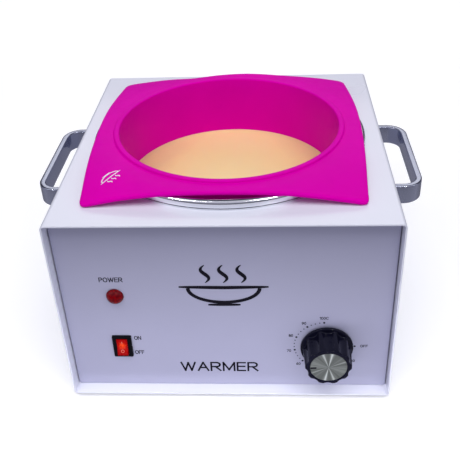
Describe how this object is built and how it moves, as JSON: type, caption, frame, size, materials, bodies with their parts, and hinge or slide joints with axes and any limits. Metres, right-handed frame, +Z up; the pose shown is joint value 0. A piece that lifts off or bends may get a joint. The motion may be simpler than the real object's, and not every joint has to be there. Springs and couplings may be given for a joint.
{
  "type": "wax warmer pot",
  "caption": "Square white wax warmer with a heated round well, lift-out pot, pink silicone liner bowl, side handles, rocker switch, lamp and temperature knob.",
  "frame": {"origin": "centre of the bounding box on the plane the feet stand on", "axes": "+Z up, the control panel faces -Y, +X to the right as seen from the front"},
  "size_m": [0.304, 0.2704, 0.1808],
  "materials": {
    "case_paint": "gloss white powder coat",
    "panel_paint": "gloss white powder coat",
    "polished_aluminium": "polished",
    "handle_aluminium": "polished, slightly brushed",
    "well_steel": "polished",
    "silicone": "satin silicone",
    "wax": "smooth set wax",
    "foot_rubber": "matt",
    "screw_steel": "zinc plated",
    "knob_plastic": "gloss",
    "knob_cap_metal": "spun",
    "lamp_red": "gloss translucent",
    "switch_black": "satin",
    "rocker_red": "translucent, lit",
    "inlet_black": "matt",
    "brass_tabs": "plain",
    "heater_mica": "mica and foil",
    "galvanised": "galvanised",
    "wool": "glass wool",
    "ceramic_block": "unglazed",
    "thermostat_case": "moulded",
    "copper": "bare copper",
    "wire_brown": "silicone sleeve",
    "wire_blue": "silicone sleeve",
    "wire_white": "heat-resistant sleeve",
    "wire_earth": "green and yellow"
  },
  "bodies": {
    "root": {"base_heater": "heater_mica", "block_screw": "screw_steel", "bulb_clips": "galvanised", "capillary_tube": "copper", "case_nuts": "screw_steel", "case_wrap": "case_paint", "earth_bolt": "screw_steel", "floor_screws": "screw_steel", "foot_front_left": "foot_rubber", "foot_front_right": "foot_rubber", "foot_rear_left": "foot_rubber", "foot_rear_right": "foot_rubber", "foot_screws": "screw_steel", "front_panel": "panel_paint", "handle_left": "handle_aluminium", "handle_right": "handle_aluminium", "handle_screws": "screw_steel", "heater_band": "heater_mica", "heater_strap": "galvanised", "heating_well": "well_steel", "inlet_body": "inlet_black", "inlet_nuts": "screw_steel", "inlet_pins": "brass_tabs", "inlet_screws": "screw_steel", "insulation_base": "wool", "insulation_wrap": "wool", "lamp_body": "inlet_black", "lamp_lens": "lamp_red", "lamp_nut": "screw_steel", "pressure_plate": "galvanised", "rear_panel": "panel_paint", "rear_panel_screws": "screw_steel", "sensor_bulb": "copper", "strap_bolt": "screw_steel", "strap_nut": "screw_steel", "switch_housing": "switch_black", "switch_terminals": "brass_tabs", "terminal_block": "ceramic_block", "thermal_cutout": "ceramic_block", "thermostat_body": "thermostat_case", "thermostat_screws": "screw_steel", "well_bridge": "galvanised", "well_nut": "screw_steel", "wire_block_to_base_heater": "wire_white", "wire_block_to_cutout": "wire_white", "wire_cutout_to_band": "wire_white", "wire_inlet_to_block": "wire_blue", "wire_inlet_to_earth": "wire_earth", "wire_inlet_to_switch": "wire_brown", "wire_switch_to_thermostat": "wire_brown", "wire_thermostat_to_block": "wire_brown"},
    "pot": {"wax_pot": "polished_aluminium"},
    "liner": {"silicone_liner": "silicone", "wax_fill": "wax"},
    "knob": {"thermostat_spindle": "galvanised", "knob_body": "knob_plastic", "knob_cap": "knob_cap_metal", "knob_grub_screw": "screw_steel"},
    "rocker": {"switch_rocker": "rocker_red"}
  },
  "joints": [
    {"name": "pot_lift", "type": "slide", "parent": "root", "child": "pot", "axis": [0, 0, 1], "range_m": [0, 0.14]},
    {"name": "liner_lift", "type": "slide", "parent": "pot", "child": "liner", "axis": [0, 0, 1], "range_m": [0, 0.11]},
    {"name": "knob_turn", "type": "hinge", "parent": "root", "child": "knob", "pos_m": [0.0756, -0.1122, 0.0478], "axis": [0, -1, 0], "range_deg": [-91, 175]},
    {"name": "rocker_tilt", "type": "hinge", "parent": "root", "child": "rocker", "pos_m": [-0.0824, -0.1122, 0.0476], "axis": [1, 0, 0], "range_deg": [0, 15]}
  ]
}
